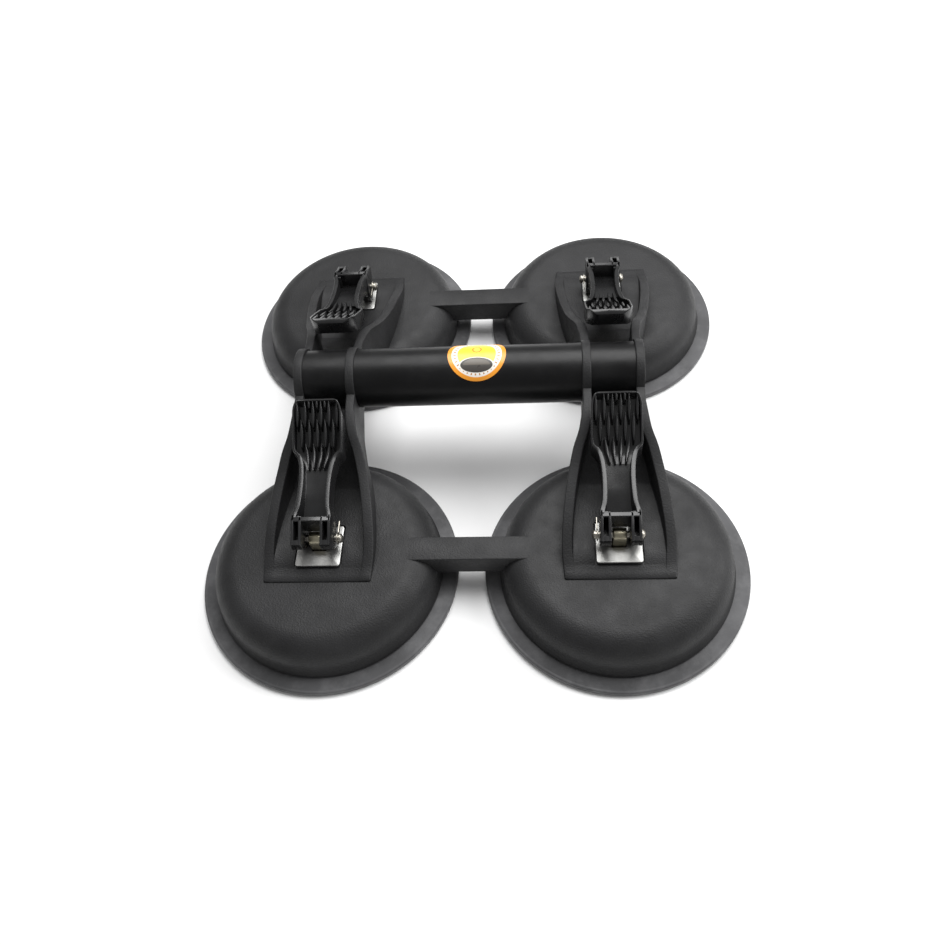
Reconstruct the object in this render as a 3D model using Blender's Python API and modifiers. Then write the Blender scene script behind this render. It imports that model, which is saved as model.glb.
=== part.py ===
"""Four-cup vacuum lifter: a moulded frame with a cross handle that carries four rubber suction pads.

The middle of each pad hangs on a flat stem, and a forked cam lever on the stem's pin pulls it up.
Metres, +Z up, origin on the floor under the middle of the handle, rear cups towards +Y.
"""
import math

import bmesh
import bpy
from mathutils import Matrix, Vector

MM = 0.001

# Suction pads and the domes that cover them
PAD_RADIUS = 60.0 * MM
PAD_RIM = 3.3 * MM
PAD_EDGE_CHAMFER = 0.7 * MM
PAD_SKIN = 2.2 * MM
PAD_LIFT = 3.6 * MM
PAD_HUB_WALL = 2.4 * MM
PAD_BEAD_HEIGHT = 3.0 * MM
PAD_LIP = 6.7 * MM
PAD_GAP_X = 12.4 * MM
PAD_GAP_Y = 36.0 * MM
DOME_TOP = 22.3 * MM
DOME_WALL = 2.6 * MM
DOME_SHOULDER = 13.0 * MM
DOME_DRAFT = 1.5 * MM

# Handle tube and crossbars
HANDLE_RADIUS = 13.7 * MM
HANDLE_WALL = 3.0 * MM
HANDLE_HEIGHT = 48.1 * MM
HANDLE_COLLAR = 2.0 * MM
PLUG_DEPTH = 3.0 * MM
CROSSBAR_WIDTH = 11.6 * MM
CROSSBAR_DEPTH = 12.0 * MM
CROSSBAR_WALL = 2.6 * MM

# Arms: half widths, the toe past each cup, ribs, floor and the ends of their hollows
ARM_WAIST = 14.0 * MM
ARM_BLADE = 24.7 * MM
ARM_TOE = 16.3 * MM
ARM_TOE_STEP = 0.8 * MM
ARM_TOE_NARROWING = 0.8 * MM
ARM_TOE_WALL = 6.0 * MM
ARM_RIB = 4.6 * MM
ARM_NECK_RIB = 4.0 * MM
ARM_NECK_LENGTH = 4.3 * MM
ARM_NECK_RISE = 5.0 * MM
ARM_NECK_LEAN = 0.8 * MM
ARM_FLOOR = 3.2 * MM
ARM_SADDLE = 4.1 * MM
ARM_RAMP = 10.0 * MM
ARM_FOOT_SINK = 6.0 * MM
ARM_FOOT_INSET = 4.0 * MM
ARM_HOLLOW_START = 2.0 * MM
ARM_HOLLOW_END = 6.0 * MM

# Arm's half width, then its ridge height, as shares of the way along and across
ARM_FLARE = ((0.207, 0.19), (0.345, 0.467), (0.62, 0.785), (1.0, 1.0))
ARM_RIDGE = ((0.102, 0.93), (0.204, 0.83), (0.307, 0.683), (0.409, 0.547))

# Stem, insert disc, wear plate, pin and clip of one cup
PLATE_SIZE = 20.0 * MM
PLATE_THICKNESS = 1.2 * MM
PLATE_PROUD = 0.4 * MM
PLATE_CORNER = 1.5 * MM
STEM_WIDTH = 5.8 * MM
STEM_THICKNESS = 4.6 * MM
STEM_EYE = 3.1 * MM
STEM_CLEARANCE = 1.2 * MM
STEM_HOLE = 5.0 * MM
STEM_FLANGE = 5.2 * MM
STEM_FLANGE_DEPTH = 1.6 * MM
STEM_TENON = 2.9 * MM
INSERT_RADIUS = 15.0 * MM
INSERT_THICKNESS = 2.0 * MM
PIN_RADIUS = 1.6 * MM
PIN_HEAD = 2.6 * MM
PIN_HEAD_DEPTH = 1.6 * MM
PIN_END = 2.1 * MM
PIN_CLEARANCE = 0.15 * MM
CLIP_RADIUS = 2.7 * MM
CLIP_THICKNESS = 0.8 * MM
CLIP_TAB_WIDTH = 1.8 * MM
CLIP_TAB_HEIGHT = 8.5 * MM
CLIP_LEAN = math.radians(85.0)

# Cam and fork of the lever
CAM_CLOSED = 6.1 * MM
CAM_DROP = 2.0 * MM
CAM_ANGLE = math.radians(55.0)
FORK_WIDTH = 17.2 * MM
FORK_TIP = 7.7 * MM
FORK_TIP_HEIGHT = 8.1 * MM
FORK_POCKET = 2.0 * MM
FORK_LAND = 5.2 * MM
FORK_STEP = 1.4 * MM
FORK_BACK_DROP = 1.0 * MM
FORK_BACK_SLOPE = 1.5 * MM

# Shank of the lever
LEVER_WAIST = 14.6 * MM
LEVER_NECK = 0.3 * MM
LEVER_NECK_LENGTH = 4.0 * MM
LEVER_FLARE = 1.2 * MM
LEVER_WALL_RISE = 4.6 * MM
LEVER_WALL = 1.3 * MM
LEVER_RAIL = 2.1 * MM
LEVER_WEB_SINK = 3.2 * MM
LEVER_WEB_ROOF = 1.6 * MM
LEVER_WEB_FLAT = 2.3 * MM
LEVER_WEB_TO_HEEL = 6.0 * MM
LEVER_BELLY = 12.6 * MM
HEEL_RISE = 9.5 * MM
HEEL_THICKNESS = 8.5 * MM

# Grip of the lever
GRIP_WIDTH = 22.4 * MM
GRIP_LENGTH = 21.6 * MM
GRIP_THICKNESS = 9.6 * MM
GRIP_CORNER = 6.0 * MM
GRIP_EDGE = 1.6 * MM
GRIP_RIM = 2.0 * MM
GRIP_ABOVE_HANDLE = 1.5 * MM
GRIP_TO_HANDLE = 7.1 * MM
GRIP_GROOVES = 5
GRIP_GROOVE_DEPTH = 4.0 * MM

# Label on the handle
LABEL_RADIUS = 13.4 * MM
LABEL_THICKNESS = 0.3 * MM
LABEL_X = 4.5 * MM
LABEL_TILT = math.radians(93.0)

# Running and seating gap between neighbours, overshoot of cutters, roundness
GAP = 0.3 * MM
PAST = 5.0 * MM
FINE_TURN = 32
SMALL_TURN = 12

# What follows from the sizes above
CUP_X = PAD_RADIUS + PAD_GAP_X / 2
CUP_Y = PAD_RADIUS + PAD_GAP_Y / 2
DOME_RADIUS = PAD_RADIUS - PAD_LIP
DOME_FOOT = PAD_RIM + GAP
COLLAR_RADIUS = HANDLE_RADIUS + HANDLE_COLLAR
HANDLE_BORE = HANDLE_RADIUS - HANDLE_WALL
ARM_END = CUP_Y + ARM_TOE
FLOOR_TOP = DOME_TOP + ARM_FLOOR
PLATE_TOP = FLOOR_TOP + PLATE_PROUD
PIN_HEIGHT = PLATE_TOP + GAP + CAM_CLOSED
PIN_HOLE = PIN_RADIUS + PIN_CLEARANCE
PAD_TOP = PAD_LIFT + PAD_SKIN
INSERT_TOP = PAD_TOP + GAP + INSERT_THICKNESS
TIP_REACH = CUP_Y - COLLAR_RADIUS - GRIP_TO_HANDLE
TIP_RISE = HANDLE_HEIGHT + HANDLE_RADIUS + GRIP_ABOVE_HANDLE - PIN_HEIGHT

# Side and end where each cup stands
CUPS = {"front_left": (-1, -1), "front_right": (1, -1), "rear_left": (-1, 1), "rear_right": (1, 1)}


def clear_scene():
    for old in list(bpy.data.objects):
        bpy.data.objects.remove(old, do_unlink=True)


def new_collection(name):
    collection = bpy.data.collections.new(name)
    bpy.context.scene.collection.children.link(collection)
    return collection


def new_material(name, colour, roughness, metallic=0.0):
    material = bpy.data.materials.new(name)
    material.use_nodes = True
    shader = material.node_tree.nodes["Principled BSDF"]
    shader.inputs["Base Color"].default_value = (*colour, 1.0)
    shader.inputs["Roughness"].default_value = roughness
    shader.inputs["Metallic"].default_value = metallic
    material.diffuse_color = (*colour, 1.0)
    return material


def add_object(name, mesh, material=None):
    """Put a mesh in the model as a part, or among the cutters when it has no material."""
    item = bpy.data.objects.new(name, mesh)
    if material is None:
        CUTTERS.objects.link(item)
        item.hide_render = True
        item.display_type = "WIRE"
    else:
        PARTS.objects.link(item)
        mesh.materials.append(material)
    return item


def place(item, parent=None, location=(0, 0, 0), rotation=(0, 0, 0)):
    item.parent = parent
    item.location = location
    item.rotation_euler = rotation
    return item


def cut(target, cutter, operation="DIFFERENCE"):
    modifier = target.modifiers.new(cutter.name, "BOOLEAN")
    modifier.operation = operation
    modifier.solver = "EXACT"
    modifier.object = cutter


def turned(name, profile, steps, material=None):
    """Turn a closed profile of (radius, height) points about Z; it runs down its outer side."""
    mesh = bpy.data.meshes.new(name)
    work = bmesh.new()
    points = [work.verts.new((radius, 0, height)) for radius, height in profile]
    on_axis = profile[0][0] == 0 and profile[-1][0] == 0
    for start, end in zip(points, points[1:] if on_axis else points[1:] + points[:1]):
        work.edges.new((start, end))
    work.to_mesh(mesh)
    work.free()
    item = add_object(name, mesh, material)
    screw = item.modifiers.new("turn", "SCREW")
    screw.steps = steps
    screw.render_steps = steps
    screw.use_merge_vertices = True
    screw.merge_threshold = 0.00001
    screw.use_smooth_shade = True
    return item


def arc(centre, radius, start, end, steps):
    """Points on an arc; the angles are in degrees from the first axis."""
    points = []
    for step in range(steps + 1):
        angle = math.radians(start + (end - start) * step / steps)
        points.append((centre[0] + radius * math.cos(angle), centre[1] + radius * math.sin(angle)))
    return points


def curved(stations, steps):
    """A smooth line through the stations, with steps points for each stretch."""
    line = [stations[0]]
    for index in range(len(stations) - 1):
        before = stations[max(index - 1, 0)]
        start, end = stations[index], stations[index + 1]
        after = stations[min(index + 2, len(stations) - 1)]
        for step in range(1, steps + 1):
            t = step / steps
            line.append(tuple(
                0.5 * (2 * s + (e - b) * t + (2 * b - 5 * s + 4 * e - a) * t ** 2
                       + (3 * s - b - 3 * e + a) * t ** 3)
                for b, s, e, a in zip(before, start, end, after)))
    return line


def slab(name, outline, depth, turn=None, material=None):
    """Extrude a flat outline by depth to both sides of its plane; turn moves it from the XY plane."""
    curve = bpy.data.curves.new(name, "CURVE")
    curve.dimensions = "2D"
    curve.fill_mode = "BOTH"
    curve.extrude = depth
    spline = curve.splines.new("POLY")
    spline.points.add(len(outline) - 1)
    for point, (x, y) in zip(spline.points, outline):
        point.co = (x, y, 0, 1)
    spline.use_cyclic_u = True
    guide = bpy.data.objects.new(name, curve)
    CUTTERS.objects.link(guide)
    bpy.context.view_layer.update()
    mesh = bpy.data.meshes.new_from_object(guide.evaluated_get(bpy.context.evaluated_depsgraph_get()))
    bpy.data.objects.remove(guide, do_unlink=True)
    work = bmesh.new()
    work.from_mesh(mesh)
    bmesh.ops.remove_doubles(work, verts=work.verts, dist=0.000001)
    bmesh.ops.recalc_face_normals(work, faces=work.faces)
    if turn is not None:
        bmesh.ops.transform(work, matrix=turn, verts=work.verts)
    work.to_mesh(mesh)
    work.free()
    mesh.name = name
    return add_object(name, mesh, material)


# An outline of (y, z) points becomes a slab that is extruded along X
SIDEWAYS = Matrix(((0, 0, 1), (1, 0, 0), (0, 1, 0))).to_4x4()


def block(name, low, high, material=None):
    """A box between two corners."""
    low, high = Vector(low), Vector(high)
    mesh = bpy.data.meshes.new(name)
    work = bmesh.new()
    bmesh.ops.create_cube(work, size=1.0)
    bmesh.ops.scale(work, vec=high - low, verts=work.verts)
    bmesh.ops.translate(work, vec=(low + high) / 2, verts=work.verts)
    work.to_mesh(mesh)
    work.free()
    return add_object(name, mesh, material)


def blocks(name, corners):
    """One cutter of several boxes that stand clear of each other."""
    mesh = bpy.data.meshes.new(name)
    work = bmesh.new()
    for low, high in corners:
        low, high = Vector(low), Vector(high)
        made = bmesh.ops.create_cube(work, size=1.0)["verts"]
        bmesh.ops.scale(work, vec=high - low, verts=made)
        bmesh.ops.translate(work, vec=(low + high) / 2, verts=made)
    work.to_mesh(mesh)
    work.free()
    return add_object(name, mesh)


def rod(name, radius, start, end, steps=SMALL_TURN, material=None):
    """A cylinder along X between two places."""
    mesh = bpy.data.meshes.new(name)
    work = bmesh.new()
    turn = Matrix.Translation(((start + end) / 2, 0, 0)) @ Matrix.Rotation(math.radians(90), 4, "Y")
    bmesh.ops.create_cone(work, cap_ends=True, segments=steps, radius1=radius, radius2=radius,
                          depth=end - start, matrix=turn)
    work.to_mesh(mesh)
    work.free()
    return add_object(name, mesh, material)


def round_cutter(name, radius, low, high, steps=SMALL_TURN):
    """An upright cylinder between two heights."""
    return turned(name, [(0, high), (radius, high), (radius, low), (0, low)], steps)


def mirrored(half):
    """Close a line of (along, half width) points with its reflection in the first axis."""
    return half + [(along, -across) for along, across in reversed(half)]


def dome_profile(grow, steps=5):
    """Outer side of a dome from its flat top down, moved outwards by grow."""
    wall = DOME_RADIUS - DOME_DRAFT
    middle = (wall - DOME_SHOULDER, DOME_TOP - DOME_SHOULDER)
    shoulder = arc(middle, DOME_SHOULDER + grow, 90, 0, steps)
    return shoulder + [(DOME_RADIUS + grow, DOME_FOOT - grow)]


def dome(name, stand):
    """The round cover of one cup, open below, with a hole in its top for the stem."""
    outer = dome_profile(0)
    inner = dome_profile(-DOME_WALL, 3)
    inner[-1] = (DOME_RADIUS - DOME_WALL, DOME_FOOT)
    hole = [(STEM_HOLE, DOME_TOP - DOME_WALL), (STEM_HOLE, DOME_TOP)]
    item = turned(name, outer + inner[::-1] + hole, FINE_TURN, ABS)
    return place(item, stand)


def pad(name, stand):
    """The rubber cup: a flat rim, a skin drawn up in the middle and a hub that holds the disc."""
    bead_outer = DOME_RADIUS - DOME_WALL - DOME_DRAFT - GAP
    bead_inner = bead_outer - PAD_HUB_WALL
    skin_edge = bead_inner - PAD_SKIN
    pocket = INSERT_RADIUS + GAP
    hub = pocket + PAD_HUB_WALL
    profile = [
        (0, PAD_TOP), (pocket, PAD_TOP), (pocket, INSERT_TOP), (hub, INSERT_TOP), (hub, PAD_TOP),
        (skin_edge, PAD_RIM), (bead_inner, PAD_RIM), (bead_inner, PAD_RIM + PAD_BEAD_HEIGHT),
        (bead_outer, PAD_RIM + PAD_BEAD_HEIGHT), (bead_outer, PAD_RIM),
        (PAD_RADIUS - PAD_EDGE_CHAMFER, PAD_RIM), (PAD_RADIUS, PAD_RIM - PAD_EDGE_CHAMFER),
        (PAD_RADIUS, 0), (skin_edge, 0), (hub, PAD_LIFT), (0, PAD_LIFT),
    ]
    return place(turned(name, profile, FINE_TURN, RUBBER), stand)


def insert_disc(name, stand):
    """Steel disc held in the pad's hub, with a hole for the stem's tenon."""
    hole = STEM_TENON + PIN_CLEARANCE
    low = PAD_TOP + GAP
    profile = [(hole, INSERT_TOP), (INSERT_RADIUS, INSERT_TOP), (INSERT_RADIUS, low), (hole, low)]
    return place(turned(name, profile, FINE_TURN // 2, ZINC), stand)


def stem(name, stand):
    """Flat tongue with an eye for the pin, a flange on the disc and a tenon through it."""
    eye = arc((0, PIN_HEIGHT), STEM_EYE, -30, 210, 12)
    root = INSERT_TOP + GAP
    neck = STEM_THICKNESS / 2
    outline = eye + [(-neck, PIN_HEIGHT - STEM_EYE), (-neck, root), (neck, root),
                     (neck, PIN_HEIGHT - STEM_EYE)]
    item = slab(name, outline, STEM_WIDTH / 2, SIDEWAYS, BRASS)
    foot = turned(name + "_foot", [
        (0, root + STEM_FLANGE_DEPTH), (STEM_FLANGE, root + STEM_FLANGE_DEPTH), (STEM_FLANGE, root),
        (STEM_TENON, root), (STEM_TENON, PAD_TOP + GAP), (0, PAD_TOP + GAP)], SMALL_TURN)
    hole = rod(name + "_eye", PIN_HOLE, -STEM_WIDTH, STEM_WIDTH)
    cut(item, place(foot, stand), "UNION")
    cut(item, place(hole, stand, (0, 0, PIN_HEIGHT)))
    return place(item, stand)


def wear_plate(name, stand):
    """Square steel plate that the cam bears on, with a slot for the stem."""
    half = PLATE_SIZE / 2
    bend = half - PLATE_CORNER
    outline = []
    for x, y, start in ((1, 1, 0), (-1, 1, 90), (-1, -1, 180), (1, -1, 270)):
        outline += arc((x * bend, y * bend), PLATE_CORNER, start, start + 90, 3)
    item = slab(name, outline, PLATE_THICKNESS / 2, None, STEEL)
    slot = block(name + "_slot", (-STEM_WIDTH / 2 - 2 * GAP, -STEM_EYE - GAP, -PAST),
                 (STEM_WIDTH / 2 + 2 * GAP, STEM_EYE + GAP, PAST))
    middle = (0, 0, PLATE_TOP - PLATE_THICKNESS / 2)
    cut(item, place(slot, stand, middle))
    return place(item, stand, middle)


def pin(name, axis, side):
    """Pivot pin with a domed head on one side and a peened end on the other; side is 1 or -1."""
    face = FORK_WIDTH / 2 + GAP
    end = face + CLIP_THICKNESS + 2 * GAP
    head = arc((0, face), PIN_HEAD, 90, 0, 3)
    head = [(radius, face + (height - face) * PIN_HEAD_DEPTH / PIN_HEAD) for radius, height in head]
    head[0] = (0, face + PIN_HEAD_DEPTH)
    profile = head + [(PIN_RADIUS, face), (PIN_RADIUS, -end), (PIN_END, -end),
                      (PIN_END, -end - PIN_RADIUS / 2), (PIN_RADIUS / 2, -end - PIN_RADIUS),
                      (0, -end - PIN_RADIUS)]
    item = turned(name, profile, SMALL_TURN, NICKEL)
    return place(item, axis, (0, 0, 0), (0, side * math.pi / 2, 0))


def clip(name, axis, side):
    """Spring clip on the pin's plain end, with its tab leaning towards the handle."""
    ring = arc((0, 0), CLIP_RADIUS, 110, 430, 12)
    tab = CLIP_TAB_WIDTH / 2
    outline = ring + [(tab, CLIP_TAB_HEIGHT), (-tab, CLIP_TAB_HEIGHT)]
    item = slab(name, outline, CLIP_THICKNESS / 2, SIDEWAYS, NICKEL)
    hole = rod(name + "_hole", PIN_HOLE, -PAST, PAST)
    middle = (-side * (FORK_WIDTH / 2 + GAP + CLIP_THICKNESS / 2 + GAP), 0, 0)
    cut(item, place(hole, axis, middle))
    return place(item, axis, middle, (-CLIP_LEAN, 0, 0))


def cam_outline():
    """Underside of the fork in (y, z) from the pin, so that it always bears on the wear plate."""
    slope = CAM_DROP / CAM_ANGLE
    points = []
    for step in range(6):
        angle = CAM_ANGLE * step / 5
        reach = CAM_CLOSED - slope * angle
        points.append((slope * math.cos(angle) - reach * math.sin(angle),
                       -slope * math.sin(angle) - reach * math.cos(angle)))
    last_y, last_z = points[-1]
    run = FORK_TIP + last_y
    return points + [(-FORK_TIP, last_z + run * math.tan(CAM_ANGLE)), (-FORK_TIP, FORK_TIP_HEIGHT)]


def between(start, end, share):
    return start + (end - start) * share


def lever(name, axis):
    """Forked cam lever with a webbed shank and a ribbed grip that rises to the handle."""
    heel = TIP_REACH - GRIP_LENGTH
    heel_top = FORK_TIP_HEIGHT + HEEL_RISE
    wall_top = FORK_TIP_HEIGHT + LEVER_WALL_RISE
    wall_front, wall_rear = 0.2 * FORK_TIP, FORK_LAND - LEVER_WALL
    grip_low = TIP_RISE - GRIP_THICKNESS
    side = cam_outline() + [
        (-FORK_TIP / 2, FORK_TIP_HEIGHT + FORK_STEP), (wall_front, wall_top),
        (FORK_LAND, wall_top), (heel, heel_top), (TIP_REACH - GRIP_EDGE, TIP_RISE),
        (TIP_REACH, TIP_RISE - GRIP_EDGE), (TIP_REACH, grip_low + GRIP_EDGE),
        (TIP_REACH - GRIP_EDGE, grip_low), (heel, heel_top - HEEL_THICKNESS),
        (0.36 * heel, heel_top - LEVER_BELLY), (FORK_LAND + FORK_BACK_SLOPE, -FORK_BACK_DROP),
        (FORK_LAND, -CAM_CLOSED)]
    item = slab(name, side, GRIP_WIDTH, SIDEWAYS, ABS)
    flare = curved([
        (FORK_LAND, FORK_WIDTH / 2), (FORK_LAND + LEVER_NECK_LENGTH, LEVER_WAIST / 2 + LEVER_NECK),
        (0.55 * heel, LEVER_WAIST / 2), (0.82 * heel, LEVER_WAIST / 2 + LEVER_FLARE),
        (heel, GRIP_WIDTH / 2)], 3)
    corner = arc((TIP_REACH - GRIP_CORNER, GRIP_WIDTH / 2 - GRIP_CORNER), GRIP_CORNER, 90, 0, 3)
    half = [(-FORK_TIP - PAST, FORK_WIDTH / 2)] + flare + corner
    plan = slab(name + "_plan", [(y, x) for x, y in mirrored(half)], PAD_RADIUS)
    cut(item, place(plan, axis), "INTERSECT")
    fork_gap = STEM_WIDTH / 2 + STEM_CLEARANCE
    pocket = (FORK_WIDTH / 2 + fork_gap) / 2
    web_end = heel - LEVER_WEB_TO_HEEL
    inner = LEVER_WAIST / 2 - LEVER_RAIL
    groove = (GRIP_WIDTH - 2 * GRIP_RIM) / (2 * GRIP_GROOVES)
    grip = math.atan2(TIP_RISE - heel_top, GRIP_LENGTH - GRIP_EDGE)
    eye_room = STEM_EYE + 2 * GAP
    front, low, high = -FORK_TIP - PAST, -CAM_CLOSED - PAST, wall_top + PAST
    prongs = slab(name + "_prongs", [
        (front, low), (FORK_LAND + PAST, low), (FORK_LAND + PAST, eye_room), (wall_front, eye_room),
        (wall_front, high), (front, high)], fork_gap, SIDEWAYS)
    slots = blocks(name + "_slots", [
        ((x - FORK_POCKET / 2, -FORK_TIP / 2, FORK_TIP_HEIGHT / 2),
         (x + FORK_POCKET / 2, wall_front - GAP, high)) for x in (-pocket, pocket)])
    web_end_top = between(wall_top, heel_top, (web_end - FORK_LAND) / (heel - FORK_LAND))
    web = slab(name + "_web", [
        (wall_rear, eye_room + LEVER_WEB_ROOF), (FORK_LAND + LEVER_WEB_FLAT, eye_room + LEVER_WEB_ROOF),
        (web_end, web_end_top - LEVER_WEB_SINK), (web_end, TIP_RISE), (wall_rear, TIP_RISE)],
        inner, SIDEWAYS)
    ribs = blocks(name + "_grooves", [
        ((groove * (2 * index - GRIP_GROOVES + 0.5), GAP, -GRIP_GROOVE_DEPTH),
         (groove * (2 * index - GRIP_GROOVES + 1.5), GRIP_LENGTH - GRIP_RIM - GRIP_EDGE, PAST))
        for index in range(GRIP_GROOVES)])
    bore = rod(name + "_bore", PIN_HOLE, -FORK_WIDTH, FORK_WIDTH)
    cut(item, place(slots, axis))
    cut(item, place(prongs, axis))
    cut(item, place(web, axis))
    cut(item, place(ribs, axis, (0, heel, heel_top), (grip, 0, 0)))
    cut(item, place(bore, axis))
    return place(item, axis)


def arm(name, x, stands):
    """Channelled arm from cup to cup: two ribs that rise to round collars on the handle tube."""
    near = COLLAR_RADIUS + ARM_NECK_LENGTH
    outer = [(0, ARM_WAIST), (near, ARM_WAIST)] + [
        (between(near, CUP_Y, along), between(ARM_WAIST, ARM_BLADE, across))
        for along, across in ARM_FLARE] + [(ARM_END, ARM_BLADE - ARM_TOE_NARROWING)]
    outer = curved(outer, 2)
    outer = [(-y, width) for y, width in reversed(outer[1:])] + outer
    plan = slab(name + "_plan", [(across, along) for along, across in mirrored(outer)], PAD_RADIUS * 2)

    toe_top = DOME_TOP + ARM_TOE_STEP
    neck_top = HANDLE_HEIGHT + ARM_NECK_RISE
    ridge = [(between(COLLAR_RADIUS, ARM_END, along), between(toe_top, neck_top, rise))
             for along, rise in ARM_RIDGE]
    ridge = curved([(COLLAR_RADIUS - ARM_NECK_LEAN, neck_top)] + ridge, 2) + [(ARM_END, toe_top)]
    dome_flat = CUP_Y - DOME_RADIUS + DOME_SHOULDER
    foot_end = dome_flat - ARM_FOOT_INSET
    foot = DOME_TOP - ARM_FOOT_SINK
    belly = HANDLE_HEIGHT - COLLAR_RADIUS
    lower = [(ARM_END, foot), (foot_end, foot), (COLLAR_RADIUS / 2, belly)]
    collar = arc((0, HANDLE_HEIGHT), COLLAR_RADIUS, 90, 20, 6)
    half = collar[:-1] + ridge + lower
    side = half + [(-y, z) for y, z in reversed(half[1:])]
    item = slab(name, side, ARM_BLADE * 1.2, SIDEWAYS, ABS)
    stand = bpy.data.objects.new(name + "_stand", None)
    CUTTERS.objects.link(stand)
    stand.location = (x, 0, 0)
    cut(item, place(plan, stand), "INTERSECT")

    inner = [(y, width - (ARM_NECK_RIB if abs(y) < near + GAP else ARM_RIB)) for y, width in outer]
    toe = ARM_END - ARM_TOE_WALL
    inner = [(max(-toe, min(toe, y)), width) for y, width in inner]
    inner = [inner[0]] + [point for before, point in zip(inner, inner[1:]) if point[0] != before[0]]
    channel = slab(name + "_channel", [(across, along) for along, across in mirrored(inner)],
                   PAD_RADIUS * 2)
    saddle = HANDLE_HEIGHT - ARM_SADDLE
    ramp = dome_flat + ARM_RAMP
    sky = HANDLE_HEIGHT * 2
    above = [(COLLAR_RADIUS, saddle), (ramp, FLOOR_TOP), (ARM_END, FLOOR_TOP), (ARM_END, sky)]
    above = above + [(-y, z) for y, z in reversed(above)]
    upper = slab(name + "_upper", above, ARM_BLADE, SIDEWAYS)
    cut(upper, place(channel, stand), "INTERSECT")

    web = (saddle - FLOOR_TOP) / (ramp - COLLAR_RADIUS)
    under_start = COLLAR_RADIUS + ARM_HOLLOW_START
    under_end = foot_end + ARM_HOLLOW_END
    roof = saddle - web * (under_start - COLLAR_RADIUS) - ARM_FLOOR
    eave = saddle - web * (under_end - COLLAR_RADIUS) - ARM_FLOOR
    below = [(under_start, roof), (under_end, eave), (under_end, 0), (under_start, 0)]
    hollows = []
    for end in (-1, 1):
        hollow = slab(f"{name}_hollow_{end + 1}", [(end * y, z) for y, z in below], ARM_BLADE, SIDEWAYS)
        walls = slab(f"{name}_walls_{end + 1}", [(across, along) for along, across in mirrored(inner)],
                     PAD_RADIUS * 2)
        cut(hollow, place(walls, stand), "INTERSECT")
        hollows.append(place(hollow, stand))
    bore = rod(name + "_bore", HANDLE_RADIUS + GAP, -ARM_BLADE * 2, ARM_BLADE * 2, FINE_TURN)
    cut(item, place(upper, stand))
    for hollow in hollows:
        cut(item, hollow)
    cut(item, place(bore, stand, (0, 0, HANDLE_HEIGHT)))
    for end, dome_stand in stands.items():
        recess = PLATE_SIZE / 2 + GAP
        seat = block(f"{name}_seat_{end}", (-recess, -recess, PLATE_TOP - PLATE_THICKNESS - GAP),
                     (recess, recess, FLOOR_TOP + PAST))
        hole = round_cutter(f"{name}_hole_{end}", STEM_HOLE, DOME_TOP - PAST, FLOOR_TOP)
        cut(item, place(dome_cutter(f"{name}_dome_{end}"), dome_stand))
        cut(item, place(seat, dome_stand))
        cut(item, place(hole, dome_stand))
    return place(item, stand)


def dome_cutter(name):
    """The room that a dome takes, with the seating gap around it."""
    profile = dome_profile(GAP)
    return turned(name, [(0, profile[0][1])] + profile + [(0, profile[-1][1])], FINE_TURN)


def crossbar(name, stands, y):
    """Bar between two domes, an upside-down channel with its top flush with theirs."""
    half = CROSSBAR_WIDTH / 2
    low = DOME_TOP - CROSSBAR_DEPTH
    item = block(name, (-CUP_X, y - half, low), (CUP_X, y + half, DOME_TOP), ABS)
    inside = half - CROSSBAR_WALL
    end = PAD_GAP_X / 2 + PAD_LIP - CROSSBAR_WALL
    trough = block(name + "_trough", (-end, y - inside, low - PAST),
                   (end, y + inside, DOME_TOP - CROSSBAR_WALL))
    cut(item, trough)
    ends = []
    for side, stand in stands.items():
        ends.append(place(dome_cutter(f"{name}_dome_{side}"), stand))
        reach = CUP_X - DOME_RADIUS + DOME_SHOULDER + DOME_DRAFT
        low_x, high_x = sorted((side * reach, side * CUP_X * 1.2))
        ends.append(block(f"{name}_end_{side}", (low_x, y - half - PAST, low - PAST),
                          (high_x, y + half + PAST, DOME_TOP + PAST)))
    for cutter in ends:
        cut(item, cutter)
    return item


def handle_tube(name):
    """Tube across both arms, open at its ends."""
    half = CUP_X + ARM_WAIST
    profile = [(HANDLE_BORE, half), (HANDLE_RADIUS, half), (HANDLE_RADIUS, -half), (HANDLE_BORE, -half)]
    item = turned(name, profile, FINE_TURN, ABS)
    return place(item, None, (0, 0, HANDLE_HEIGHT), (0, math.pi / 2, 0))


def end_plug(name, side):
    """Push-in cap of the handle tube, a short cup with its closed face outwards."""
    radius = HANDLE_BORE - GAP
    wall = HANDLE_WALL / 2
    profile = [(0, 0), (radius, 0), (radius, -PLUG_DEPTH), (radius - wall, -PLUG_DEPTH),
               (radius - wall, -wall), (0, -wall)]
    item = turned(name, profile, FINE_TURN // 2, ABS)
    return place(item, None, (side * (CUP_X + ARM_WAIST), 0, HANDLE_HEIGHT), (0, side * math.pi / 2, 0))


def label(name):
    """Thin round label that wraps over the top of the handle tube."""
    inner = HANDLE_RADIUS + GAP
    outer = inner + LABEL_THICKNESS
    profile = [(inner, LABEL_RADIUS * 2), (outer, LABEL_RADIUS * 2), (outer, -LABEL_RADIUS * 2),
               (inner, -LABEL_RADIUS * 2)]
    item = turned(name, profile, FINE_TURN, PAPER)
    disc = round_cutter(name + "_disc", LABEL_RADIUS, HANDLE_RADIUS / 2, HANDLE_RADIUS * 2, 20)
    place(disc, None, (LABEL_X, 0, HANDLE_HEIGHT), (math.pi / 2 - LABEL_TILT, 0, 0))
    disc.scale.y = outer * math.sin(LABEL_RADIUS / outer) / LABEL_RADIUS
    cut(item, disc, "INTERSECT")
    return place(item, None, (LABEL_X, 0, HANDLE_HEIGHT), (0, math.pi / 2, 0))


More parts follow.
